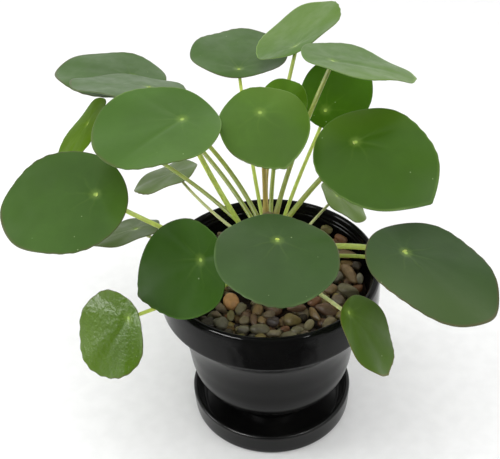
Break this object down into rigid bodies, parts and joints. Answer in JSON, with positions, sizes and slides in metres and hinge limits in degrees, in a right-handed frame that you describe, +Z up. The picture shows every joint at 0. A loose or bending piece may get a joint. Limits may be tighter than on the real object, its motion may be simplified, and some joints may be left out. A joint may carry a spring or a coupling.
{
  "type": "potted chinese money plant",
  "caption": "House plant with round, off-centre-stalked leaves on a short stem, in a black glazed pot with a pebble dressing and a saucer.",
  "frame": {"origin": "centre of the saucer's flat underside", "axes": "+Z up along the pot's axis; -Y is the front, the side that the front leaf hangs over; +X is to the right seen from the front"},
  "size_m": [0.2989, 0.3056, 0.2738],
  "materials": {
    "glaze": "glossy black glaze",
    "soil": "damp dark potting soil",
    "pebble": "smooth river gravel, brown, tan and grey",
    "amber_pebble": "smooth amber stone",
    "stem": "woody, with leaf scars",
    "leaf": "smooth living leaf with a soft sheen",
    "stalk": "smooth living stalk, pale green"
  },
  "bodies": {
    "root": {"saucer": "glaze", "pot": "glaze", "soil": "soil", "pebbles": "pebble", "pebble_amber": "amber_pebble", "stem": "stem", "blade_rear_left_outer": "leaf", "stalk_rear_left_outer": "stalk", "blade_rear_left_inner": "leaf", "stalk_rear_left_inner": "stalk", "blade_left_high": "leaf", "stalk_left_high": "stalk", "blade_left_wide": "leaf", "stalk_left_wide": "stalk", "blade_rear_left_steep": "leaf", "stalk_rear_left_steep": "stalk", "blade_rear_left_small": "leaf", "stalk_rear_left_small": "stalk", "blade_left_small": "leaf", "stalk_left_small": "stalk", "blade_front_left": "leaf", "stalk_front_left": "stalk", "blade_front_left_low": "leaf", "stalk_front_left_low": "stalk", "blade_front": "leaf", "stalk_front": "stalk", "blade_crown": "leaf", "stalk_crown": "stalk", "blade_crown_small": "leaf", "stalk_crown_small": "stalk", "blade_rear": "leaf", "stalk_rear": "stalk", "blade_rear_high": "leaf", "stalk_rear_high": "stalk", "blade_rear_right_high": "leaf", "stalk_rear_right_high": "stalk", "blade_rear_right": "leaf", "stalk_rear_right": "stalk", "blade_right_high": "leaf", "stalk_right_high": "stalk", "blade_rear_right_small": "leaf", "stalk_rear_right_small": "stalk", "blade_right_wide": "leaf", "stalk_right_wide": "stalk", "blade_front_right_low": "leaf", "stalk_front_right_low": "stalk", "blade_right_low": "leaf", "stalk_right_low": "stalk"}
  },
  "joints": []
}
